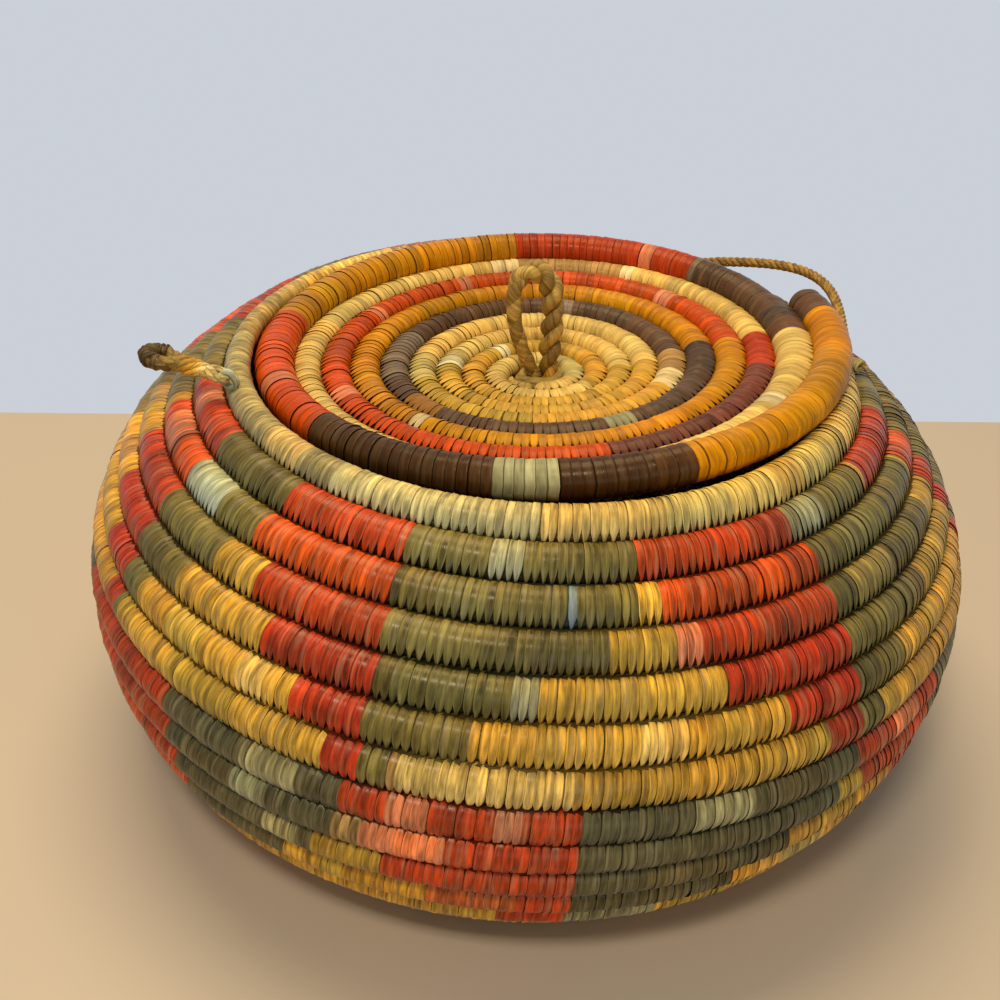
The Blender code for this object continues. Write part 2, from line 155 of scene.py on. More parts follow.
def lengths_along(line):
    """A path's length up to each of its points."""
    return np.concatenate([[0.0], np.cumsum(np.linalg.norm(np.diff(line, axis=0), axis=1))])


def blunt(away, radius, depth):
    """Share of a cord's section that is left so far away from its end."""
    return np.sqrt(1.0 - depth * np.clip(1.0 - away / (END_LENGTH * radius), 0.0, 1.0) ** 2)


def wall_lean(turns_up):
    rows, leans = zip(*WALL_LEAN)
    return math.radians(float(np.interp(turns_up, rows, leans)))


def spiral_pitch(pitch, radius, points):
    slant = math.hypot(1.0, pitch / (math.tau * radius))
    return pitch * slant / math.cos(math.pi / points)


def wind_body():
    """The body's coil from the middle: radius, height, cord radius, azimuth and lean."""
    step = 1.0 / (BODY_POINTS * FINE)
    count = round(BODY_TURNS / step)
    profile = [(BODY_START, BODY_CORD / 2.0 - FLAT_CUT)]
    for index in range(count):
        lean = wall_lean((index + 0.5) * step - BASE_TURNS)
        radius, z = profile[-1]
        run = spiral_pitch(PITCH, radius, BODY_POINTS) * step
        profile.append((radius + run * math.cos(lean), z + run * math.sin(lean)))
    rows = []
    for index, (radius, z) in enumerate(profile):
        turns_left = (count - index) * step
        share = 1.0 - (1.0 - RIM_TAPER_TIP) * smooth(1.0 - turns_left / RIM_TAPER_TURNS)
        cord = BODY_CORD / 2.0 * share
        if turns_left < RIM_TAPER_TURNS:
            below = rows[index - BODY_POINTS * FINE]
            reach = math.hypot(radius - below[0], z - below[1])
            keep = (below[2] + cord + TURN_GAP) / reach
            radius = below[0] + (radius - below[0]) * keep
            z = below[1] + (z - below[1]) * keep
        lean = wall_lean(index * step - BASE_TURNS)
        rows.append((radius, z, cord, RIM_END_AZ + 360.0 * turns_left, lean))
    return rows


def lid_cord(turn, total):
    grown = min(turn / LID_CORD_TURNS, 1.0)
    thickness = LID_START_CORD + (LID_CORD - LID_START_CORD) * grown
    edge = smooth((turn - (total - 1.0 - LID_EDGE_BLEND)) / LID_EDGE_BLEND)
    return (thickness + (LID_EDGE_CORD - thickness) * edge) / 2.0


def lid_height(turn, total, radius, field):
    edge = smooth((turn - (total - 1.0 - LID_EDGE_BLEND)) / (2.0 * LID_EDGE_BLEND))
    dish = LID_DISH * 0.5 * (1.0 + math.cos(math.pi * min(radius / field, 1.0)))
    return -(1.0 - edge) * (LID_EDGE_RISE + dish)


def wind_lid(total, field):
    """Radius, height and cord radius of the lid's coil for so many turns in all."""
    per_turn = LID_POINTS * FINE
    rows = []
    radius = LID_START
    for index in range(round(total * per_turn) + 1):
        turn = index / per_turn
        cord = lid_cord(turn, total)
        z = lid_height(turn, total, radius, field)
        if index < per_turn:
            rows.append((radius, z, cord))
            radius += spiral_pitch(2.0 * cord + TURN_GAP, radius, LID_POINTS) / per_turn
            continue
        inner = rows[index - per_turn]
        reach = spiral_pitch(cord + inner[2] + TURN_GAP, inner[0], LID_POINTS)
        radius = inner[0] + math.sqrt(reach ** 2 - (z - inner[1]) ** 2)
        rows.append((radius, z, cord))
    return rows


def wind_lid_to(edge_radius):
    """The lid's coil with as many turns as bring its end to the given radius."""
    field = edge_radius - LID_EDGE_CORD
    low, high = LID_TURNS
    for _ in range(HALVINGS):
        total = (low + high) / 2.0
        if wind_lid(total, field)[-1][0] < edge_radius:
            low = total
        else:
            high = total
    rows = wind_lid(low, field)
    last = len(rows) - 1
    turn = 360.0 / (LID_POINTS * FINE)
    return [(*row, LID_END_AZ - (last - index) * turn, 0.0) for index, row in enumerate(rows)]


def coil_points(rows):
    """Places and radii of the solid's own points, back from the coil's outer end."""
    picked = list(range(len(rows) - 1, -1, -FINE))[::-1]
    return [(polar(rows[i][0], rows[i][3], rows[i][1]), rows[i][2]) for i in picked]


def densify(points):
    centres, radii = [], []
    for (start, start_r), (end, end_r) in zip(points, points[1:]):
        for part in range(DENSE):
            centres.append(start.lerp(end, part / DENSE))
            radii.append(start_r + (end_r - start_r) * part / DENSE)
    return np.array(centres), np.array(radii)


def rim_at(rows, azimuth, turns_down):
    top = (azimuth - RIM_END_AZ) % 360.0 / 360.0
    return rows[len(rows) - 1 - round((top + turns_down) * BODY_POINTS * FINE)][:3]


def lid_place(body_rows, lid_rows):
    """The lid's resting place: lowered, tilted, until one cord touches the other."""
    turn = Matrix.Rotation(-math.radians(LID_TILT), 4, polar(1.0, LID_TILT_AZ + 90.0, 0.0))
    shift = Matrix.Translation((*LID_SHIFT, 0.0))
    tilted = shift @ turn @ Matrix.Diagonal((1.0 + LID_OVAL, 1.0 - LID_OVAL, 1.0, 1.0))
    lid = [(tilted @ place, radius) for place, radius in coil_points(lid_rows)]
    lid_centres, lid_radii = densify(lid)
    rim_centres, rim_radii = densify(coil_points(body_rows)[-3 * BODY_POINTS:])
    drop = -1.0
    for centre, radius in zip(lid_centres, lid_radii):
        level = np.linalg.norm(rim_centres[:, :2] - centre[:2], axis=1)
        reach = rim_radii + radius + SEAT_GAP
        near = level < reach
        if near.any():
            height = rim_centres[near, 2] + np.sqrt(reach[near] ** 2 - level[near] ** 2)
            drop = max(drop, float(height.max() - centre[2]))
    return Matrix.Translation((0.0, 0.0, drop)) @ tilted


body_rows = wind_body()
lid_rows = wind_lid_to(rim_at(body_rows, LID_END_AZ, 0.0)[0] - LID_END_INSET)
lid_matrix = lid_place(body_rows, lid_rows)


# Dyes, as sRGB seen in even light
DYES = {
    "gold": (196, 148, 48),
    "straw": (208, 170, 82),
    "cream": (214, 174, 88),
    "pale": (222, 194, 132),
    "tan": (164, 124, 66),
    "red": (172, 54, 10),
    "deep_red": (166, 46, 14),
    "pink": (206, 116, 74),
    "olive": (106, 92, 40),
    "dark_olive": (82, 77, 50),
    "pale_olive": (152, 144, 100),
    "sage": (158, 158, 122),
    "cream_green": (192, 174, 110),
    "blue_grey": (112, 130, 128),
    "brown": (90, 64, 42),
    "dark_brown": (76, 46, 20),
    "grey": (124, 104, 80),
    "orange": (194, 126, 2),
    "orange_red": (188, 68, 6),
    "maroon": (108, 56, 40),
    "golden_brown": (146, 96, 36),
    "beige": (162, 140, 84),
}


def linear(srgb):
    value = np.asarray(srgb, float) / 255.0
    return np.where(value <= 0.04045, value / 12.92, ((value + 0.055) / 1.055) ** 2.4)


DYE = {name: linear(rgb) for name, rgb in DYES.items()}

# Body: rows are counted down from the rim. Rows 2 to 7 carry one motif between upright lines: olive
# right of a line, then gold, then red up to the next line. Rows 8 to 12 carry another. A motif has
# its lines, the shares of the way to the next line where a row's olive ends and its red starts, and
# the azimuths of both where the photograph shows them
UPPER = (
    (-8.0, 35.0, 82.0, 125.0, 168.0, 212.0, 252.5, 311.0, 352.0, 395.0, 442.0),
    ((0.52, 0.50, 0.42, 0.31, 0.19, 0.06), (0.52, 0.54, 0.59, 0.68, 0.80, 0.91)),
    {212.0: ((231, 230, 227, 223, 216, 213), (231, 230, 234, 238, 243, 248)),
     252.5: ((285, 284, 279, 271.5, 264, 256), (285, 287, 288, 293, 300, 306)),
     311.0: ((329, 342, 339, 329, 320, 315), (330, 343, 345, 347, 348, 350))})
LOWER = (
    (-30.0, 17.0, 65.0, 115.0, 170.0, 225.0, 276.0, 330.0, 377.0, 425.0),
    ((0.50, 0.47, 0.42, 0.34, 0.16), (0.50, 0.55, 0.62, 0.72, 0.88)),
    {225.0: ((250, 249, 246, 241, 226), (250, 253, 255, 260, 268)),
     276.0: ((311, 309, 303, 296, 288), (311, 313, 322, 326, 329))})
# Odd strands: row, first and last azimuth
ODD = {
    "pale_olive": ((2, 264, 268), (2, 310, 318), (5, 268, 271.5), (8, 238, 245), (8, 288, 296),
                   (9, 236, 241), (10, 240, 244), (12, 276, 288)),
    "sage": ((3, 212, 222),),
    "blue_grey": ((3, 274.4, 275.4),),
    "pink": ((2, 196, 200), (3, 196, 203), (4, 288, 291), (8, 256, 260), (8, 267, 270),
             (8, 318, 324), (9, 253, 262)),
    "cream": ((6, 236, 240), (6, 282, 288), (7, 257, 275), (11, 300, 312)),
    "tan": ((4, 180, 186), (5, 188, 194), (7, 256, 257), (9, 249, 253)),
}
# The rim's back is patched from short strands. From there on: last azimuth and dye
RIM_PATCHES, RIM_PATCH, RIM_BACK_END = ("tan", "cream", "gold"), 31.0, 150.0
RIM_RUNS = ((236.0, "beige"), (271.0, "cream_green"), (300.0, "cream"), (450.0, "straw"))


def motif_dye(motif, row, azimuth, olive, red):
    lines, shares, seen = motif
    low, high = next((pair for pair in zip(lines, lines[1:]) if pair[0] <= azimuth < pair[1]),
                     lines[-2:])
    if low in seen:
        olive_end, red_start = (ends[row] for ends in seen[low])
    else:
        olive_end, red_start = (low + (high - low) * share[row] for share in shares)
    return olive if azimuth < olive_end else "gold" if azimuth < red_start else red


def body_dye(turns_left):
    """The dye of the body's stitch so many turns from the rim's end."""
    row = int(turns_left) + 1
    azimuth = RIM_END_AZ + 360.0 * (turns_left - (row - 1))
    for name, places in ODD.items():
        if any(row == place and low <= azimuth < high for place, low, high in places):
            return name
    if row == 1:
        if azimuth <= RIM_BACK_END:
            return RIM_PATCHES[int(azimuth / RIM_PATCH) % len(RIM_PATCHES)]
        return next(name for end, name in RIM_RUNS if azimuth < end)
    if row <= 7:
        red = "orange_red" if row == 3 else "red" if row <= 4 else "deep_red"
        return motif_dye(UPPER, row - 2, azimuth, "olive", red)
    if row <= 12:
        return motif_dye(LOWER, row - 8, azimuth, "dark_olive", "red")
    if row <= 15:
        return "cream" if int(azimuth / 17.0) % 5 == row % 5 else "gold"
    # The base's underside: rings of gold with a few bands
    band = int(azimuth / 40.0 + row * 0.5)
    if row in (17, 18) and band % 3 == 0:
        return "red"
    return "olive" if row == 20 and band % 2 else "gold"


# Lid: dyes by the turns left to its outer end
LID_RUNS = (
    (0.0, "brown"), (0.033, "orange"), (0.232, "dark_brown"), (0.301, "pale_olive"),
    (0.329, "dark_brown"), (0.436, "orange_red"), (0.489, "pink"), (0.5014, "orange_red"),
    (0.589, "orange"), (0.789, "red"), (0.883, "pink"), (0.895, "red"), (0.9264, "grey"),
    (0.9333, "brown"), (1.047, "cream"), (1.134, "pale"), (1.149, "cream"), (1.77, "pale"),
    (1.789, "tan"), (1.8764, "pale"), (1.889, "cream"), (2.039, "red"), (2.089, "maroon"),
    (2.264, "orange_red"), (2.476, "pink"), (2.4945, "orange_red"), (2.635, "pink"),
    (2.643, "orange_red"), (2.733, "pink"), (2.744, "orange_red"), (2.926, "pink"),
    (2.944, "orange_red"), (3.039, "orange"), (3.408, "pale"), (3.4195, "orange"),
    (4.039, "brown"), (4.2195, "pale_olive"), (4.2445, "brown"), (4.414, "golden_brown"),
    (4.458, "brown"), (4.508, "grey"), (4.62, "brown"), (4.8264, "grey"), (4.853, "brown"),
    (5.039, "tan"), (5.094, "pale"), (5.134, "gold"), (5.51, "cream"), (6.06, "gold"),
    (6.56, "pale"), (6.6, "cream"), (7.06, "gold"), (7.68, "pale"), (7.72, "gold"),
    (8.16, "cream"),
)


def lid_dye(turns_left):
    return [name for start, name in LID_RUNS if turns_left >= start][-1]


class Coil:
    """A wound cord: its middle and its section's directions at any number of turns."""

    def __init__(self, rows, per_turn, outer_side, matrix):
        self.data = np.array(rows)
        self.first, self.last = self.data[0], self.data[-1]
        self.per_turn = per_turn
        self.outer_side = outer_side
        self.matrix = matrix
        self.turns = (len(rows) - 1) / per_turn

    def at(self, turn):
        """Radius, height, cord radius, azimuth in radians and lean at the given turns."""
        index = np.clip(turn * self.per_turn, 0, len(self.data) - 1)
        low = np.minimum(index.astype(int), len(self.data) - 2)
        share = (index - low)[..., None]
        row = self.data[low] * (1.0 - share) + self.data[low + 1] * share
        return row[..., 0], row[..., 1], row[..., 2], np.radians(row[..., 3]), row[..., 4]

    def rounding(self, turn):
        """Share of the section that is left near the coil's two ends."""
        share = 1.0
        for row, turns in ((self.first, turn), (self.last, self.turns - turn)):
            share = share * blunt(turns * math.tau * row[0], row[2], 0.9995)
        return share

    def place(self, turn, out, side, lift=0.0):
        """Points at an offset, in cord radii, outwards and towards the next turn."""
        radius, z, cord, azimuth, lean = self.at(turn)
        reach = (cord + TURN_GAP / 2.0) * self.rounding(turn)
        if self.outer_side:
            out_r, out_z, side_r, side_z = np.sin(lean), -np.cos(lean), np.cos(lean), np.sin(lean)
        else:
            out_r, out_z, side_r, side_z = 0.0, 1.0, 1.0, 0.0
        scale = reach + lift
        r = radius + scale * (out * out_r + side * side_r)
        h = z + scale * (out * out_z + side * side_z)
        return placed(self.matrix, np.stack([r * np.cos(azimuth), r * np.sin(azimuth), h], -1))


def lay_stitches(coil, width_at, lean_shift):
    """Where the stitches lie, in turns: each between two of the turn before it."""
    places = []
    turn = 0.0

    def arc(t):
        return math.tau * float(coil.at(np.array([t]))[0][0])

    while turn < 1.0:
        places.append(turn)
        turn += width_at(turn) / arc(turn)
    behind, j = 0.0, 0
    while True:
        candidate = (places[j] + places[j + 1]) / 2.0 + 1.0
        candidate -= lean_shift / arc(candidate)
        j += 1
        if candidate > coil.turns - 0.002:
            break
        width = width_at(candidate)
        run = (candidate - places[-1]) * arc(candidate)
        if run < CLOSEST * width:
            continue
        behind += run / width - 1.0
        if behind > DRIFT:
            places.append((places[-1] + candidate) / 2.0)
            behind -= 1.0
        elif behind < -DRIFT:
            behind += 1.0
            continue
        places.append(candidate)
    places = np.array(places)
    for _ in range(EVENING_ROUNDS):
        places[1:-1] += 0.5 * ((places[:-2] + places[2:]) / 2.0 - places[1:-1])
    widths = np.diff(places)
    jitter = rng.uniform(-PLACE_JITTER, PLACE_JITTER, len(places) - 2)
    places[1:-1] += jitter * np.minimum(widths[1:], widths[:-1])
    return places


# A stitch's section: outwards, towards the next turn, and its share of the full width. It starts in
# the turn before it, where its end is a pointed petal
STITCH = np.array([
    (0.24, -1.08, 0.14), (0.43, -1.14, 0.26), (0.57, -1.03, 0.46), (0.69, -0.87, 0.68),
    (0.80, -0.68, 0.88), (0.90, -0.45, 0.98), (0.975, -0.22, 1.0), (1.0, 0.0, 1.0),
    (0.975, 0.22, 1.0), (0.885, 0.46, 1.0), (0.76, 0.65, 0.99), (0.60, 0.80, 0.90),
    (0.42, 0.905, 0.68), (0.24, 0.97, 0.40), (0.0, 1.0, 0.26), (-0.26, 0.965, 0.45),
    (-0.62, 0.78, 0.95), (-0.90, 0.43, 1.0), (-1.0, 0.0, 1.0), (-0.90, -0.43, 1.0),
    (-0.62, -0.78, 0.95), (-0.22, -1.03, 0.40)])
# Across a ribbon: its points, and each one's height and share of painted shade, darkest at the
# tucked edge; the negative shares at the other edge are a painted highlight
ACROSS = np.array([-1.0, -0.87, -0.66, 0.68, 0.9, 1.0])
CROWN = np.array([-0.00014, -0.00003, 0.0, 0.00002, 0.00004, -0.00004])
EDGE_SHADE_AND_HIGHLIGHT = (0.52, 0.13, 0.0, 0.0, -0.08, -0.02)


def fill(node, inputs):
    """Sets a node's inputs to values, or links them to the outputs of other nodes."""
    for key, value in inputs.items():
        if isinstance(value, bpy.types.NodeSocket):
            node.id_data.links.new(value, node.inputs[key])
        else:
            node.inputs[key].default_value = value


def add_node(tree, kind, inputs, **settings):
    node = tree.nodes.new("ShaderNode" + kind)
    for key, value in settings.items():
        setattr(node, key, value)
    fill(node, inputs)
    return node


def new_material(name):
    mat = bpy.data.materials.new(name)
    mat.use_nodes = True
    return mat, mat.node_tree, mat.node_tree.nodes["Principled BSDF"]


def material(name, colour, roughness, specular=0.4, coat=0.0, streak=0.3, bump=0.5, fibres=3.2,
             worn=0.0):
    """Raffia: a dye from the mesh, fibre streaks along the ribbon, pale where the dye has worn, and
    gloss that varies."""
    mat, tree, shader = new_material(name)
    dye = add_node(tree, "Attribute", {}, attribute_name="dye")
    uv = add_node(tree, "UVMap", {}, uv_map="fibre")

    def fibre_noise(across, along, detail):
        stretch = add_node(tree, "Mapping", {"Vector": uv.outputs["UV"],
                                             "Scale": (across, along, 1.0)})
        return add_node(tree, "TexNoise", {"Vector": stretch.outputs["Vector"], "Scale": 1.0,
                                           "Detail": detail, "Roughness": 0.6},
                        noise_dimensions="2D").outputs["Fac"]

    def tone(source, low, high, start=0.3, end=0.7):
        return add_node(tree, "MapRange", {"Value": source, "From Min": start, "From Max": end,
                                           "To Min": low, "To Max": high}).outputs["Result"]

    coarse = fibre_noise(fibres, 0.16, 2.0)
    fine = fibre_noise(fibres * 2.3, 0.35, 3.0)
    both = add_node(tree, "Math", {0: tone(coarse, 1.0 - streak, 1.0 + streak),
                                   1: tone(fine, 1.0 - streak * 0.7, 1.0 + streak * 0.7)},
                    operation="MULTIPLY")
    shade = add_node(tree, "VectorMath", {0: dye.outputs["Color"], "Scale": both.outputs["Value"]},
                     operation="SCALE")
    wear = tone(fibre_noise(fibres * 1.4, 0.12, 2.0), 0.0, worn, 0.52, 0.72)
    pale = add_node(tree, "MixRGB", {"Fac": wear, "Color1": shade.outputs["Vector"],
                                     "Color2": (0.50, 0.40, 0.21, 1.0)})
    raised = add_node(tree, "Bump", {"Strength": bump, "Distance": 0.00015, "Height": fine})
    fill(shader, {"Base Color": pale.outputs["Color"], "Normal": raised.outputs["Normal"],
                  "Roughness": tone(coarse, roughness - 0.08, roughness + 0.14),
                  "Specular IOR Level": specular, "Specular Tint": (1.0, 0.84, 0.56, 1.0),
                  "Coat Weight": coat, "Coat Roughness": 0.22})
    mat.diffuse_color = (*colour, 1.0)
    return mat


def add_object(name, data):
    piece = bpy.data.objects.new(name, data)
    bpy.context.scene.collection.objects.link(piece)
    return piece


def grid_mesh(name, points, closed_rows, closed_columns, dye, fibre, shape, mat):
    """A mesh of equal patches: points is (patch, row, column, 3), dye (patch, row, column, 3),
    fibre (patch, row + 1, column + 1, 2), and shape a patch's rows and columns as lengths."""
    points, dye, fibre = np.array(points), np.array(dye), np.array(fibre)
    patches, rows, columns, _ = points.shape
    across = columns if closed_columns else columns - 1
    along = rows if closed_rows else rows - 1
    p, i, j = np.meshgrid(np.arange(patches), np.arange(along), np.arange(across), indexing="ij")

    def vertex(row, column):
        return (p * rows + row % rows) * columns + column % columns

    quads = np.stack([vertex(i, j), vertex(i, j + 1), vertex(i + 1, j + 1), vertex(i + 1, j)], -1)
    quads = quads.reshape(-1, 4)
    mesh = bpy.data.meshes.new(name)
    mesh.vertices.add(patches * rows * columns)
    mesh.vertices.foreach_set("co", points.astype(np.float32).ravel())
    mesh.loops.add(quads.size)
    mesh.loops.foreach_set("vertex_index", quads.astype(np.int32).ravel())
    mesh.polygons.add(len(quads))
    mesh.polygons.foreach_set("loop_start", np.arange(0, quads.size, 4, dtype=np.int32))
    mesh.update(calc_edges=True)
    mesh.polygons.foreach_set("use_smooth", np.ones(len(quads), bool))
    corner_i = np.stack([i, i, i + 1, i + 1], -1).reshape(-1)
    corner_j = np.stack([j, j + 1, j + 1, j], -1).reshape(-1)
    corner_p = np.repeat(p.reshape(-1), 4)
    layer = mesh.uv_layers.new(name="fibre")
    layer.data.foreach_set("uv", fibre[corner_p, corner_i, corner_j].astype(np.float32).ravel())
    # A place of its own for every patch
    cell_columns = max(1, round(math.sqrt(patches * shape[0] / shape[1])))
    cell_rows = math.ceil(patches / cell_columns)
    u = (corner_p % cell_columns + 0.06 + 0.88 * corner_j / across) / cell_columns
    v = (corner_p // cell_columns + 0.02 + 0.96 * corner_i / along) / cell_rows
    atlas = mesh.uv_layers.new(name="OFBake")
    atlas.data.foreach_set("uv", np.stack([u, v], -1).astype(np.float32).ravel())
    colour = mesh.color_attributes.new("dye", "FLOAT_COLOR", "POINT")
    rgba = np.concatenate([dye.reshape(-1, 3), np.ones((dye.size // 3, 1))], 1)
    colour.data.foreach_set("color", rgba.astype(np.float32).ravel())
    mesh.materials.append(mat)
    mesh.validate()
    return add_object(name, mesh)


def ribbon_shapes(coil, places, profile, toward, outer, lean, width_scale):
    """Each stitch's points, its widths along its section, and how far its edge is tucked under the
    stitch beside it."""
    count = len(places)
    petal = (toward < -0.8) & (profile[:, 0] > 0.0)
    root = (toward > 0.88) & (profile[:, 0] > -0.1)
    radius, _, cord = coil.at(places)[:3]
    arc = math.tau * radius
    gaps = np.diff(places) * arc[1:]
    half = 0.25 * (np.append(gaps[:1], gaps) + np.append(gaps, gaps[-1:])) * width_scale
    widths = np.repeat(profile[None, :, 2], count, 0)
    section = np.repeat(profile[None, :, :2], count, 0)
    if coil.outer_side:
        widths[np.ix_(outer, toward > 0.6)] = 0.95
    else:
        widths[:, toward > 0.6] = np.maximum(widths[:, toward > 0.6], 0.96)
        section[outer] /= np.linalg.norm(section[outer], axis=-1, keepdims=True)
    widths[:, petal] *= rng.normal(1.0, PETAL_SPREAD, (count, 1))
    widths[:, root] *= rng.normal(1.0, ROOT_SPREAD, (count, 1))
    if not coil.outer_side:
        widths[outer] = np.maximum(widths[outer], 0.99)
    angle = np.where(profile[:, 0] < -0.1, 0.0, np.arctan2(profile[:, 1], profile[:, 0]))
    slip = -math.tan(math.radians(lean)) * angle[None, :] * cord[:, None]
    wobble = rng.normal(0.0, WOBBLE, count) * half
    offset = (ACROSS * (half[:, None] * widths)[:, :, None] + slip[:, :, None]
              + wobble[:, None, None])
    groove = np.clip(rng.lognormal(-0.1, 0.6, count), 0.2, 1.8)
    if not coil.outer_side:
        groove[outer] = 0.8 + 0.45 * groove[outer]
    groove = groove[:, None, None]
    tilt = rng.normal(TILT, TILT_SPREAD, count)[:, None, None] * ACROSS
    lift = CROWN * groove * (0.35 + 0.65 * widths[:, :, None]) + tilt
    lift = lift + rng.normal(0.0, HEIGHT_SPREAD, count)[:, None, None]
    points = coil.place(places[:, None, None] + offset / arc[:, None, None],
                        section[:, :, 0, None], section[:, :, 1, None], lift)
    points[..., 2] = np.maximum(points[..., 2], FLOOR_GAP)
    return points, widths, groove


def strand_dyes(coil, places, dye_of, tone_spread, fade):
    """Each stitch's dye, which varies from strand to strand."""
    count = len(places)
    dye = np.array([DYE[dye_of(left)] for left in coil.turns - places])
    strand = np.repeat(np.arange(count), rng.integers(*STRAND_STITCHES, count))[:count]
    tone = rng.normal(1.0, tone_spread, count)[strand] * rng.normal(1.0, 0.11, count)
    dye = dye * np.clip(tone, 0.62, 1.4)[:, None]
    warm = rng.normal(0.0, 0.07, count)[strand]
    dye = dye * np.stack([1.0 + warm, np.ones(count), 1.0 - 1.3 * warm], 1)
    # Some strands took the dye badly and stay pale
    faded = np.clip(rng.normal(-0.25, 0.22, count), 0.0, 0.45)[strand][:, None] * fade
    return dye * (1.0 - faded) + faded * (0.4 * dye + 0.6 * DYE["cream"] * 0.8)


def stitch_pieces(names, coil, places, dye_of, mat, lean, width_scale, tone_spread, fade, line):
    """Every stitch of a coil as a ribbon round it, shared out over the named pieces. Fade is how
    much pale strands show, and line how strong the painted shade at the tucked edges and the
    painted highlight at the other edges are."""
    count = len(places)
    # The lid's petals point outwards instead, and its last turn is wrapped all round
    profile = STITCH if coil.outer_side else STITCH[::-1] * (1.0, -1.0, 1.0)
    toward = profile[:, 1] if coil.outer_side else -profile[:, 1]
    outer = coil.turns - places < 1.0
    points, widths, groove = ribbon_shapes(coil, places, profile, toward, outer, lean, width_scale)
    dye = strand_dyes(coil, places, dye_of, tone_spread, fade)
    dye = np.broadcast_to(dye[:, None, None, :], points.shape).copy()
    # Painted shade: a ribbon is darker at its tucked edge and at its narrow ends, where they go in
    # between the rows. Painted highlight: it is a little lighter at its other edge
    ends = np.interp(widths, (0.2, 0.6, 0.9), (0.62, 0.9, 1.0))
    edge_shade_and_highlight = np.repeat([EDGE_SHADE_AND_HIGHLIGHT], count, 0)
    if not coil.outer_side:
        edge_shade_and_highlight[outer, 1] = 0.40
    painted_edge_light = np.maximum(1.0 - line * edge_shade_and_highlight[:, None, :] * groove, 0.25)
    dye *= ends[:, :, None, None] * painted_edge_light[..., None]
    # Painted light: the side of a row that faces up is dyed warmer, as under a warm lamp above, and
    # the side that faces down greyer, as under cool light from the front
    if coil.outer_side:
        up = np.clip(toward * 1.3, -1.0, 1.0)[:, None] * np.array([0.10, 0.0, -0.24]) + 1.0
        dye *= up[None, :, None, :]
    rows, columns = points.shape[1:3]
    v = np.linspace(0.0, 1.0, rows + 1)[None, :, None] * 11.0
    u = (np.arange(columns + 1) / (columns - 1))[None, None, :]
    seed = rng.uniform(0.0, 400.0, (count, 1, 1))
    fibre = np.stack(np.broadcast_arrays(u + np.floor(seed) * 3.0, v + seed * 7.0), -1)
    cuts = np.linspace(0, count, len(names) + 1).astype(int)
    return [grid_mesh(name, points[low:high], True, False, dye[low:high], fibre[low:high],
                      (14.0, 1.0), mat)
            for name, low, high in zip(names, cuts, cuts[1:])]


def core_piece(name, coil, dye_of, mat, spread):
    """The bundle inside the stitches, dyed dark as painted shade where it shows between them.
    Between two rows it is spread as wide as given."""
    count = math.ceil(coil.turns)
    points, dye, fibre = [], [], []
    for index in range(count):
        low = coil.turns - count + index
        turn = np.clip(np.linspace(low, low + 1.0, BUNDLE_STEPS + 1), 0.0, coil.turns)
        t, a = np.meshgrid(turn, circle(BUNDLE_SIDES), indexing="ij")
        taper = np.minimum(1.0, np.minimum(t, coil.turns - t) * 400.0 + 0.02)
        # It bears on the rows beside it, but keeps inside its wrapping at the coil's free sides
        side = np.sin(a)
        free = ((side < 0.0) & (t < 1.05)) | ((side > 0.0) & (t > coil.turns - 1.05))
        wide = np.where(free, BUNDLE, spread)
        points.append(coil.place(t, np.cos(a) * BUNDLE * taper, side * wide * taper))
        colour = np.array([DYE[dye_of(min(max(coil.turns - x, 0.0), coil.turns))] for x in turn])
        dye.append(np.broadcast_to(colour[:, None, :] * BUNDLE_GAP_SHADE, (*t.shape, 3)))
        u, v = np.meshgrid(np.arange(BUNDLE_STEPS + 2) / 8.0, np.arange(BUNDLE_SIDES + 1) / 2.0,
                           indexing="ij")
        fibre.append(np.stack([v + index * 5.0, u], -1))
    points = np.array(points)
    points[..., 2] = np.maximum(points[..., 2], 5.0 * FLOOR_GAP)
    return grid_mesh(name, points, False, True, dye, fibre, (1.0, 12.0), mat)


def carry(body, slot, node, *pieces):
    for piece in pieces:
        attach(piece, body)
        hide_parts(node)


raffia = material("dyed_raffia", (0.5, 0.3, 0.08), 0.32, specular=0.27, coat=0.04, streak=0.5,
                  worn=0.24)
glossy = material("glossy_raffia", (0.5, 0.2, 0.05), 0.27, specular=0.14, coat=0.02, streak=0.24,
                  worn=0.06)
dark = material("coil_bundle", (0.1, 0.06, 0.02), 0.8, specular=0.2, streak=0.5, bump=0.8)

body_coil = Coil(body_rows, BODY_POINTS * FINE, True, Matrix.Identity(4))
lid_coil = Coil(lid_rows, LID_POINTS * FINE, False, lid_matrix)
slip = 2.0 * math.tan(math.radians(RIBBON_LEAN)) * (math.pi / 2.0) * BODY_CORD / 2.0
body_places = lay_stitches(body_coil, lambda turn: RIBBON, slip)


def lid_width(turn):
    """Width of the lid's wraps: widest at the front of its last turn."""
    left = lid_coil.turns - turn
    inner = 0.0017 + 0.0002 * min(turn / 3.0, 1.0)
    wrap = float(np.interp(left, (0.0, 0.2, 0.32, 0.62, 0.8, 1.0),
                           (0.0021, 0.0022, 0.0028, 0.0028, 0.0023, 0.0022)))
    return inner + (wrap - inner) * smooth((1.15 - left) / 0.3)


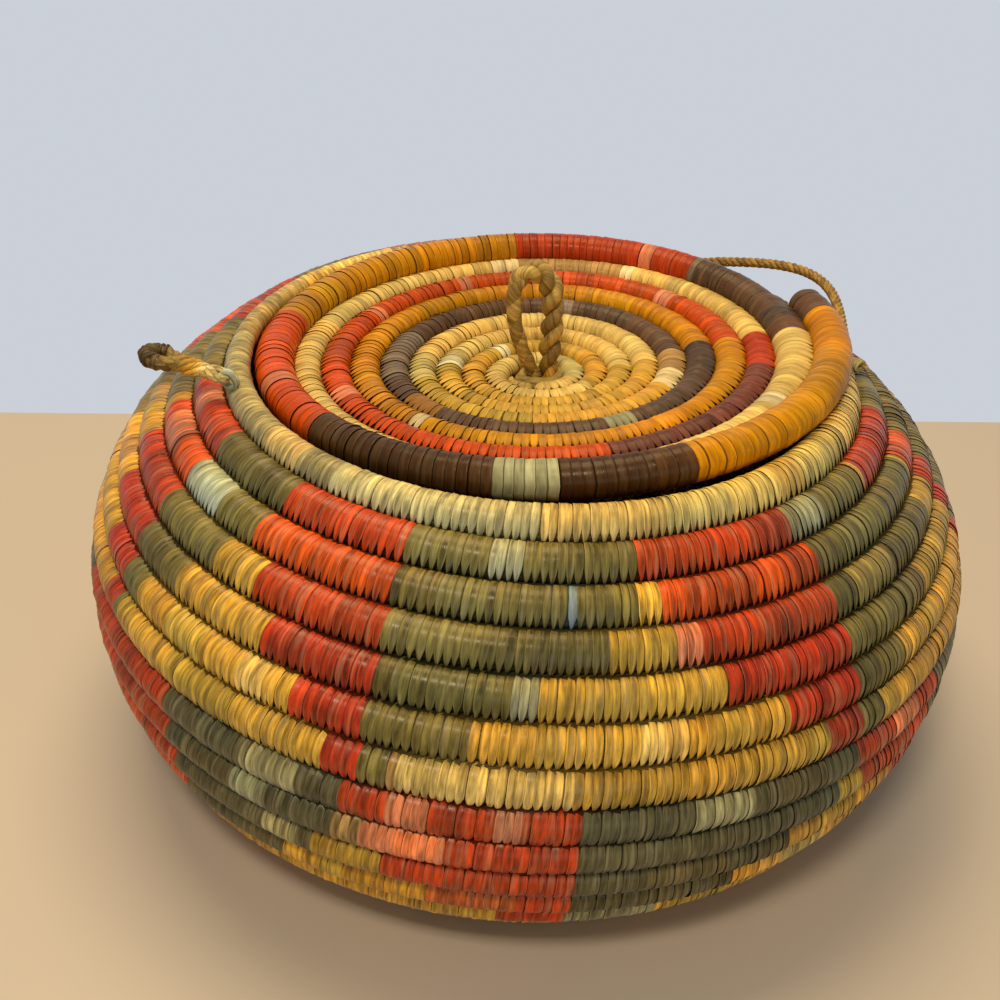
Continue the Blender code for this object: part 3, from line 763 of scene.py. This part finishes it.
lid_places = lay_stitches(lid_coil, lid_width, 0.0)
body_names = [f"body_{part}_stitches" for part in
              ("base", "foot", "lower", "belly", "middle", "shoulder", "neck", "rim")]
body_pieces = stitch_pieces(body_names, body_coil, body_places, body_dye, raffia, RIBBON_LEAN,
                            width_scale=1.06, tone_spread=0.15, fade=1.0, line=1.0)
body_pieces.append(core_piece("body_bundle", body_coil, body_dye, dark, BODY_SPREAD))
carry("basket", "raffia_body", "body_coil", *body_pieces)
lid_names = [f"lid_{part}_stitches" for part in ("middle", "field", "edge")]
lid_pieces = stitch_pieces(lid_names, lid_coil, lid_places, lid_dye, glossy, LID_RIBBON_LEAN,
                           width_scale=1.04, tone_spread=0.09, fade=0.3, line=1.35)
lid_pieces.append(core_piece("lid_bundle", lid_coil, lid_dye, dark, LID_SPREAD))
carry("lid", "raffia_lid", "lid_coil", *lid_pieces)


def smooth_path(places, count, closed=False):
    """Evenly spaced points on a smooth curve through the given places."""
    if closed:
        padded = [places[-1], *places, *places[:2]]
    else:
        padded = [places[0] * 2.0 - places[1], *places, places[-1] * 2.0 - places[-2]]
    dense = []
    for a, b, c, d in zip(padded, padded[1:], padded[2:], padded[3:]):
        for part in range(PATH_STEPS):
            t = part / PATH_STEPS
            dense.append(0.5 * (2.0 * b + (c - a) * t + (2.0 * a - 5.0 * b + 4.0 * c - d) * t ** 2
                                + (3.0 * b - a - 3.0 * c + d) * t ** 3))
    dense.append(places[0] if closed else places[-1])
    line = np.array(dense)
    along = lengths_along(line)
    wanted = np.linspace(0.0, along[-1], count + 1 if closed else count)
    picked = np.stack([np.interp(wanted, along, line[:, k]) for k in range(3)], 1)
    return picked[:-1] if closed else picked


def carried_frames(line, closed=False):
    """Two directions across a path that turn as little as they can, and its length so far."""
    if closed:
        tangent = np.roll(line, -1, 0) - np.roll(line, 1, 0)
    else:
        longer = np.concatenate([2 * line[:1] - line[1:2], line, 2 * line[-1:] - line[-2:-1]])
        tangent = longer[2:] - longer[:-2]
    tangent /= np.linalg.norm(tangent, axis=1)[:, None]
    first = np.cross(tangent[0], (0.0, 0.0, 1.0))
    if np.linalg.norm(first) < 0.1:
        first = np.cross(tangent[0], (0.0, 1.0, 0.0))
    sides = [first / np.linalg.norm(first)]
    for t in tangent[1:]:
        side = sides[-1] - t * (sides[-1] @ t)
        sides.append(side / np.linalg.norm(side))
    sides = np.array(sides)
    if closed:
        # Share the last step's turn out, so that the ends meet
        side = sides[-1] - tangent[0] * (sides[-1] @ tangent[0])
        side /= np.linalg.norm(side)
        error = math.atan2(np.cross(sides[0], side) @ tangent[0], sides[0] @ side)
        angle = -error * np.arange(len(line)) / len(line)
        other = np.cross(tangent, sides)
        sides = sides * np.cos(angle)[:, None] + other * np.sin(angle)[:, None]
    return sides, np.cross(tangent, sides), lengths_along(line)


def tubes_piece(name, home, lines, radii, dyes, mat, sides=8, closed=False, spin=0.0):
    """Several round strands, each along its own line, as one piece of several patches. Home is
    its body, slot and CAD node. The fibres turn round a strand spin times a metre."""
    around = circle(sides)
    points, colours, fibre = [], [], []
    for index, (line, radius, colour) in enumerate(zip(lines, radii, dyes)):
        side, other, length = carried_frames(line, closed)
        size = np.broadcast_to(np.asarray(radius, float), (len(line),))
        if not closed:
            size = size * blunt(np.minimum(length, length[-1] - length), np.max(size), 0.98)
        ring = (np.cos(around)[None, :, None] * side[:, None, :]
                + np.sin(around)[None, :, None] * other[:, None, :])
        points.append(line[:, None, :] + size[:, None, None] * ring)
        colour = np.asarray(colour, float).reshape(-1, 1, 3)
        colours.append(colour * rng.normal(1.0, 0.08, (len(line), sides, 1)))
        length = np.append(length, length[-1])
        u, v = np.meshgrid(np.arange(sides + 1) / sides * 2.0, length * 400.0)
        u = u + 2.0 * spin * length[:, None]
        fibre.append(np.stack([u + index * 9.0, v], -1))
    shape = (float(length[-1]), math.tau * float(np.max(radii[0])))
    carry(*home, grid_mesh(name, points, closed, True, colours, fibre, shape, mat))


def twisted(line, strands, radius, pitch, closed=False):
    """Lines of strands laid round a path like a rope's."""
    side, other, length = carried_frames(line, closed)
    total = length[-1] + (np.linalg.norm(line[0] - line[-1]) if closed else 0.0)
    turns = max(round(total / pitch), 1) if closed else total / pitch
    angle = math.tau * turns * length / total
    radius = np.broadcast_to(np.asarray(radius, float), (len(line),))[:, None]
    lines = []
    for strand in range(strands):
        at = angle + math.tau * strand / strands
        lines.append(line + radius * (np.cos(at)[:, None] * side + np.sin(at)[:, None] * other))
    return lines


def blend_dyes(share, stops):
    """Colours along a line: stops are (share, sRGB)."""
    at, colours = zip(*stops)
    table = np.array([linear(c) for c in colours])
    return np.stack([np.interp(share, at, table[:, k]) for k in range(3)], 1)


cord_mat = material("twisted_raffia", (0.36, 0.24, 0.06), 0.5, streak=0.45, bump=0.9, fibres=3.0)


def knot_middle():
    half = KNOT_HEIGHT / 2.0
    lowest = 1.0
    for radius, z, cord in (row[:3] for row in lid_rows[:LID_POINTS * FINE]):
        reach = cord + SEAT_GAP
        for step in range(KNOT_STEPS + 1):
            angle = math.pi / 2.0 * step / KNOT_STEPS
            aside = radius - KNOT_RADIUS * math.sin(angle)
            if abs(aside) < reach:
                below = math.sqrt(reach ** 2 - aside ** 2) + half * math.cos(angle)
                lowest = min(lowest, z - below)
    return lowest


def build_knob():
    hole_z = lid_rows[0][1] + lid_rows[0][2]
    knot_z = knot_middle()
    leg_end = knot_z + 0.2 * KNOT_HEIGHT
    foot = (KNOB_CORD + LEG_GAP) / 2.0
    # The left leg bows out, the right one stays closer in, as this basket's loop has settled
    lean = math.tan(math.radians(KNOB_LEAN + KNOB_SETTLED))
    outline = [(-foot, leg_end), (-foot, hole_z)]
    outline += [(share * KNOB_HALF_WIDTH, hole_z + up * KNOB_HEIGHT) for share, up in
                ((-0.70, 0.24), (-0.93, 0.52), (-0.74, 0.84), (-0.02, 0.965), (0.72, 0.84),
                 (0.80, 0.56), (0.56, 0.26))]
    outline += [(foot, hole_z), (foot, leg_end)]
    turn = Matrix.Rotation(math.radians(KNOB_AZ), 4, "Z")
    places = [turn @ Vector((width, 0.0, z)) + Vector((lean * max(z - hole_z, 0.0), 0.0, 0.0))
              for width, z in outline]
    line = placed(lid_matrix, smooth_path(places, 260))
    share = np.linspace(0.0, 1.0, len(line))
    # The left leg is smooth and round; the right one is laid up in two fat plies
    stages = (0.0, 0.42, 0.56, 0.86, 1.0)
    apart = KNOB_CORD * np.interp(share, stages, (0.05, 0.06, 0.40, 0.34, 0.2))
    ply = KNOB_CORD * np.interp(share, stages, (0.42, 0.49, 0.47, 0.43, 0.34))
    ply = ply * (1.0 + 0.05 * np.sin(share * 61.0) + 0.04 * np.sin(share * 97.0 + 1.0))
    khaki = ((0.0, (156, 122, 50)), (0.5, (184, 146, 66)), (0.8, (168, 130, 52)),
             (0.9, (170, 126, 46)), (0.93, (200, 140, 36)), (1.0, (196, 132, 28)))
    olive = ((0.0, (128, 98, 40)), (0.5, (156, 122, 54)), (0.8, (138, 104, 44)),
             (0.9, (140, 104, 38)), (0.94, (168, 116, 30)), (1.0, (150, 106, 30)))
    tubes_piece("knob_cord", ("lid", "raffia_cord", "lid_knob_loop"),
                twisted(line, 2, apart, KNOB_LAY), [ply] * 2,
                [blend_dyes(share, stops) for stops in (khaki, olive)], cord_mat, 12, spin=150.0)
    # The stopper knot: a cord wound over and under itself
    t = circle(160)
    inner = KNOT_RADIUS - KNOT_STRAND
    ring = inner * 0.62 + inner * 0.38 * np.cos(5.0 * t)
    knot = np.stack([ring * np.cos(3.0 * t), ring * np.sin(3.0 * t),
                     knot_z + (KNOT_HEIGHT / 2.0 - KNOT_STRAND) * np.sin(5.0 * t)], 1)
    tubes_piece("knob_stopper_knot", ("lid", "raffia_cord", "lid_knob_knot"),
                [placed(lid_matrix, knot)], [0.0020], [linear((118, 92, 38))], cord_mat,
                closed=True)
    # Rounds of raffia about both legs, which close the hole: radius, depth, dye and its share. The
    # share is painted shade: the rounds are darker than their dye, the deeper ones more
    t = circle(60)
    collars, dyes = [], []
    for index, (radius, down, name, collar_shade_share) in enumerate((
            (0.0024, 0.0022, "cream", 0.4), (0.0032, 0.0014, "cream", 0.6),
            (0.0040, 0.0008, "straw", 0.7), (0.0047, 0.0010, "cream", 0.6),
            (0.0057, 0.0020, "cream", 0.5), (0.0068, 0.0027, "cream", 0.4))):
        stretch = foot * (0.0055 - radius) / 0.0031
        x = stretch * np.clip(1.5 * np.cos(t), -1.0, 1.0) * 0.8 + radius * np.cos(t)
        z = hole_z - down + 0.0002 * np.sin(3.0 * t + index)
        rounds = placed(turn, np.stack([x, radius * np.sin(t), z], 1))
        collars.append(placed(lid_matrix, rounds))
        dyes.append(DYE[name] * collar_shade_share)
    home = ("lid", "raffia_lid", "lid_coil")
    tubes_piece("lid_hole_collar", home, collars, [0.0009] * len(collars), dyes, glossy,
                closed=True, spin=60.0)
    # The bundle's thin start, tucked in beside the first turn
    back = np.linspace(0.0, 1.0, 60)
    angle = math.radians(lid_rows[0][3]) - math.radians(START_TAIL) * back
    outer_r, outer_z, outer_cord = lid_coil.at(1.0 - back * START_TAIL / 360.0)[:3]
    thick = LID_START_CORD / 2.0 * (1.0 - 0.72 * back)
    middle = np.minimum(outer_r - outer_cord - thick, lid_rows[0][0] + 0.0024 * back)
    tail = np.stack([middle * np.cos(angle), middle * np.sin(angle), outer_z - 0.0009 * back], 1)
    shade = np.where(np.modf(back * 7.0)[0] < 0.16, 0.35, 0.85)[:, None] * DYE["cream"]
    tubes_piece("lid_start_tail", home, [placed(lid_matrix, tail)], [thick], [shade], glossy, 12)


def frame_at(origin, outward, along):
    up = outward.cross(along)
    return Matrix.Translation(origin) @ Matrix((outward, along, up)).transposed().to_4x4()


def lashing_reach(cord):
    return cord / 2.0 + SEAT_GAP + LASHING_STRAND


def lashing(name, cord, matrix, azimuth, row, colours, slot, node, share):
    """Three rounds of raffia about a cord that lies along the frame's Y, drawn down onto a row of
    the rim."""
    reach = (cord / 2.0 + SEAT_GAP + LASHING_STRAND / 2.0) * share
    radius, z, row_cord = rim_at(body_rows, azimuth, row)
    middle = matrix.inverted() @ polar(radius, azimuth, z)
    bottom = math.hypot(middle.x, middle.z) - row_cord - TURN_GAP / 2.0 + 0.0001
    t = circle(60)
    towards = np.clip(np.cos(t - math.atan2(middle.z, middle.x)), 0.0, 1.0)
    reach = reach + (bottom - reach) * towards ** 3
    lines = [placed(matrix, np.stack([reach * np.cos(t), shift + 0.0002 * np.sin(t),
                                      reach * np.sin(t)], 1))
             for shift in (-LASHING_STEP, 0.0, LASHING_STEP)]
    tubes_piece(name, ("basket", slot, node), lines, [LASHING_STRAND * 0.55] * 3, colours, cord_mat,
                closed=True)


def build_left_loop():
    radius, z, cord = rim_at(body_rows, LEFT_AZ, 0.0)
    reach = cord + SEAT_GAP + lashing_reach(LEFT_CORD)
    perch = math.radians(LEFT_PERCH)
    hinge = polar(radius + reach * math.cos(perch), LEFT_AZ, z + reach * math.sin(perch))
    outward = polar(1.0, LEFT_POINT_AZ, 0.0)
    along = Vector((0.0, 0.0, 1.0)).cross(outward)
    rise = Matrix.Rotation(-math.radians(LEFT_RISE), 4, along)
    matrix = frame_at(hinge, rise.to_3x3() @ outward, along)
    rest = LASHING_STRAND / 2.0 + SEAT_GAP
    corner = LEFT_BEND * math.sin(math.pi / 4.0)
    leg = (LEFT_CORD + LEG_GAP) / 2.0
    side = ((0.0, rest), (LEFT_BEND - corner, rest + corner), (LEFT_BEND, rest + LEFT_BEND),
            (BINDING_START, leg), (BINDING_START + BINDING_LENGTH, leg),
            (LEFT_REACH - 1.6 * LEFT_TIP_RADIUS, LEFT_TIP_RADIUS),
            (LEFT_REACH - 0.5 * LEFT_TIP_RADIUS, 0.85 * LEFT_TIP_RADIUS))
    outline = [Vector((x, -y, 0.0)) for x, y in side] + [Vector((LEFT_REACH, 0.0, 0.0))]
    outline += [Vector((x, y, 0.0)) for x, y in reversed(side)]
    local = smooth_path(outline, 240, closed=True)
    # The legs are drawn together where they are laid up as a rope
    share = np.clip(local[:, 0] / LEFT_REACH, 0.0, 1.0)
    local[:, 1] *= np.interp(share, (0.0, 0.2, 0.3, 0.6, 0.8, 1.0),
                             (0.55, 0.4, 0.28, 0.28, 0.8, 0.86))
    line = placed(matrix, local)
    light = blend_dyes(share, ((0.0, (204, 180, 116)), (0.35, (190, 146, 58)),
                               (0.62, (150, 118, 52)), (0.86, (112, 88, 40)), (1.0, (70, 52, 26))))
    slim = np.interp(share, (0.0, 0.2, 0.6, 1.0), (0.62, 0.75, 0.95, 0.95))
    lines = twisted(line, 3, LEFT_CORD * 0.27 * slim, 0.0075, closed=True)
    home = ("left_rim_loop", "raffia_left_loop", "left_loop")
    tubes_piece("left_loop_cord", home, lines, [LEFT_CORD * 0.30 * slim] * 3,
                [light, light * 0.72, light], cord_mat, 10, closed=True, spin=160.0)
    # Dark fibre wound roughly round the loop's tip
    tip = np.flatnonzero(local[:, 0] > LEFT_REACH - 1.05 * LEFT_TIP_RADIUS)
    side_v, other_v, length = carried_frames(line, True)
    along_tip = np.arange(length[tip[0]], length[tip[-1]], 0.0008)
    t = circle(20)
    coils, thick = [], []
    for at in along_tip + rng.uniform(-0.0003, 0.0003, len(along_tip)):
        centre, a, b = (np.stack([np.interp(at, length, v[:, k]) for k in range(3)])
                        for v in (line, side_v, other_v))
        size = LEFT_CORD / 2.0 * rng.uniform(0.86, 1.04)
        slant = rng.uniform(-0.6, 0.6) * size * np.cos(t + rng.uniform(0.0, 6.3))
        coils.append(centre + size * (np.cos(t)[:, None] * a + np.sin(t)[:, None] * b)
                     + slant[:, None] * np.cross(a, b))
        thick.append(rng.uniform(0.00034, 0.00056))
    dark_dyes = [linear((84, 62, 30)) * rng.uniform(0.55, 1.6) for _ in coils]
    tubes_piece("left_loop_tip_winding", home, coils, thick, dark_dyes, cord_mat, 6, closed=True)
    # The yellow wrap: strands laid round both legs like a rope, pale and narrow near the rim
    first, last = 0.15 * LEFT_REACH, BINDING_START + BINDING_LENGTH + 0.0014
    run = np.linspace(0.0, 1.0, 60)
    thin = np.interp(run, (0.0, 0.12, 0.35, 0.75, 1.0), (0.42, 0.68, 0.86, 1.0, 0.9))
    stops = ((0.0, (214, 200, 150)), (0.22, (228, 204, 134)), (0.42, (220, 168, 58)),
             (0.6, (204, 142, 32)), (0.8, (160, 122, 48)), (1.0, (118, 92, 42)))
    shades = (1.0, 0.72, 1.1, 0.85, 0.66, 1.0)
    strands, tones = [], []
    for k, tone in enumerate(shades):
        angle = math.tau * k / len(shades) - math.radians(270.0) * run
        y = thin * (0.0005 * np.clip(1.4 * np.cos(angle), -1.0, 1.0) + 0.00135 * np.cos(angle))
        x = first + (last - first) * run
        strands.append(placed(matrix, np.stack([x, y, thin * 0.00135 * np.sin(angle)], 1)))
        tones.append(blend_dyes(run, stops) * tone)
    tubes_piece("left_loop_wrap", ("left_rim_loop", "raffia_yellow", "left_loop_binding"), strands,
                [0.00096 * thin] * len(shades), tones, cord_mat, spin=120.0)
    pale = [linear(dye) for dye in ((170, 172, 136), (190, 190, 152), (154, 156, 118))]
    lashing("left_lashing_strands", LEFT_CORD, matrix, LEFT_AZ, 0.0, pale, "raffia_left_loop",
            "left_lashing", 0.58)


def valley(azimuth, outer_radius):
    upper = rim_at(body_rows, azimuth, 0.0)
    lower = rim_at(body_rows, azimuth, 1.0)
    if upper[2] < BODY_CORD / 2.0 - TURN_GAP:
        upper, lower = lower, rim_at(body_rows, azimuth, 2.0)
    run = Vector((lower[0] - upper[0], lower[1] - upper[1]))
    out = Vector((-run.y, run.x)).normalized()
    middle = Vector(((upper[0] + lower[0]) / 2.0, (upper[1] + lower[1]) / 2.0))
    reach = BODY_CORD / 2.0 + SEAT_GAP + outer_radius
    seat = middle + out * math.sqrt(reach ** 2 - (run.length / 2.0) ** 2)
    return polar(seat.x, azimuth, seat.y)


def build_right_loop():
    front = valley(RIGHT_FRONT_AZ, lashing_reach(RIGHT_CORD))
    back = valley(RIGHT_BACK_AZ, lashing_reach(RIGHT_CORD))
    along = (back - front).normalized()
    outward = along.cross(Vector((0.0, 0.0, 1.0))).normalized()
    span = (back - front).length
    rise = Matrix.Rotation(math.radians(RIGHT_RISE), 4, -along)
    bulge = rise.to_3x3() @ outward
    if bulge.z < 0.0:
        bulge = rise.inverted().to_3x3() @ outward
    count = 26
    points = []
    for index in range(count + 1):
        run = -RIGHT_FOOT + (span + 2.0 * RIGHT_FOOT) * index / count
        share = min(max((run - RIGHT_FOOT) / (span - 2.0 * RIGHT_FOOT), 0.0), 1.0)
        depth = RIGHT_BULGE * math.sin(math.pi * share) ** 1.3
        points.append(front + along * run + bulge * depth)
    line = smooth_path(points, 420)
    share = np.linspace(0.0, 1.0, len(line))
    slim = np.interp(share, (0.0, 0.06, 0.12, 0.19, 0.80, 0.88, 0.95, 1.0),
                     (0.12, 0.45, 0.58, 1.0, 1.0, 0.58, 0.45, 0.2))
    lines = twisted(line, 3, RIGHT_CORD * 0.26 * slim, 0.0062)
    light = blend_dyes(share, ((0.0, (190, 146, 62)), (0.3, (164, 124, 52)), (1.0, (150, 110, 44))))
    tubes_piece("right_loop_cord", ("right_rim_loop", "raffia_right_loop", "right_loop"), lines,
                [RIGHT_CORD * 0.29 * slim] * 3, [light, light * 0.7, light * 0.9], cord_mat,
                spin=170.0)
    golds = [DYE["beige"], DYE["cream_green"] * 0.8, DYE["beige"] * 0.8]
    for side, place, azimuth, row in (("front", front, RIGHT_FRONT_AZ, 0.0),
                                      ("back", back, RIGHT_BACK_AZ, 1.0)):
        lashing(f"right_{side}_lashing_strands", RIGHT_CORD, frame_at(place, outward, along),
                azimuth, row, golds, "raffia_right_loop", f"right_lashing_{side}", 0.42)


build_knob()
build_left_loop()
build_right_loop()


def build_floor(corner, angle):
    """A pale table whose back edge starts at the corner."""
    mat, tree, shader = new_material("floor_pale")
    colour = linear((204, 184, 156))
    noise = add_node(tree, "TexNoise", {"Scale": 3.0})
    grain = add_node(tree, "MixRGB", {"Fac": noise.outputs["Fac"], "Color1": (*colour, 1.0),
                                      "Color2": (*(colour * 0.97), 1.0)})
    fill(shader, {"Roughness": 0.5, "Base Color": grain.outputs["Color"]})
    mesh = bpy.data.meshes.new("floor")
    x, y = FLOOR_SIZE[0] / 2.0, FLOOR_SIZE[1] / 2.0
    mesh.from_pydata([(-x, -y, 0), (x, -y, 0), (x, y, 0), (-x, y, 0)], [], [(0, 1, 2, 3)])
    mesh.materials.append(mat)
    floor = add_object("floor", mesh)
    table = Matrix.Translation(corner) @ Matrix.Rotation(angle, 4, "Z")
    floor.matrix_world = table @ Matrix.Translation((0.0, -y, 0.0))


# Camera at the photograph's place, in units of the belly's radius
UNIT, MIDDLE = 0.12146, 0.0538
ELEVATION, DISTANCE, FOCUS = math.radians(32.34), 3.36, 1.4
OFFSET, ROLL = (-0.061, 0.089), math.radians(2.65)
ahead = Vector((0.0, math.cos(ELEVATION), -math.sin(ELEVATION)))
upward = Vector((0.0, math.sin(ELEVATION), math.cos(ELEVATION)))
right = Vector((1.0, 0.0, 0.0))
across = math.cos(ROLL) * right + math.sin(ROLL) * upward
upright = -math.sin(ROLL) * right + math.cos(ROLL) * upward
position = (across * OFFSET[0] + upright * OFFSET[1] - ahead * DISTANCE) * UNIT
position.z += MIDDLE
camera_data = bpy.data.cameras.new("camera")
camera_data.sensor_width = 36.0
camera_data.lens = 36.0 * FOCUS
camera_data.clip_start = 0.01
camera = add_object("camera", camera_data)
camera.matrix_world = (Matrix.Translation(position)
                       @ Matrix((across, upright, -ahead)).transposed().to_4x4())
scene = bpy.context.scene
scene.camera = camera

# The table's back edge; behind it the camera sees the world as a pale wall
FLOOR_EDGE = ((-0.2117, 0.1535), (0.2020, 0.1845))
FLOOR_SIZE = (6.0, 3.0)
edge = np.subtract(FLOOR_EDGE[1], FLOOR_EDGE[0])
build_floor((*FLOOR_EDGE[0], -0.0002), math.atan2(edge[1], edge[0]))

# Lamps: place, target, size, power and colour
LAMPS = {
    "soft_top": ((-0.1, 0.20, 0.95), (0.0, 0.0, 0.06), (0.6, 0.5), 6.8, (1.0, 0.84, 0.58)),
    "front_top": ((-0.12, -0.6, 0.95), (0.0, 0.0, 0.06), (0.22, 0.14), 4.2, (1.0, 0.95, 0.86)),
    "soft_front": ((0.3, -1.1, 0.25), (0.0, 0.0, 0.05), (1.0, 0.5), 2.1, (0.80, 0.90, 1.0)),
}
for name, (place, target, size, power, colour) in LAMPS.items():
    data = bpy.data.lights.new(name, "AREA")
    data.shape = "RECTANGLE"
    data.size, data.size_y = size
    data.energy = power
    data.color = colour
    lamp = add_object(name, data)
    direction = Vector(target) - Vector(place)
    lamp.rotation_euler = direction.to_track_quat("-Z", "Y").to_euler()
    lamp.location = place

# The world lights the basket as a room would, and camera and mirrors see a pale backdrop in it
world = bpy.data.worlds.new("world")
world.use_nodes = True
tree = world.node_tree
room = tree.nodes["Background"]
fill(room, {"Color": (0.90, 0.93, 1.0, 1.0), "Strength": 0.22})
backdrop = add_node(tree, "Background", {"Color": (*linear((203, 208, 216)), 1.0)})
rays = add_node(tree, "LightPath", {})
seen = rays.outputs["Is Camera Ray"]
for kind in ("Is Glossy Ray", "Is Transmission Ray"):
    either = add_node(tree, "Math", {0: seen, 1: rays.outputs[kind]}, operation="MAXIMUM")
    seen = either.outputs["Value"]
choice = add_node(tree, "MixShader", {"Fac": seen, 1: room.outputs["Background"],
                                      2: backdrop.outputs["Background"]})
fill(tree.nodes["World Output"], {"Surface": choice.outputs["Shader"]})
scene.world = world
scene.view_settings.view_transform = "Standard"

bpy.context.view_layer.update()
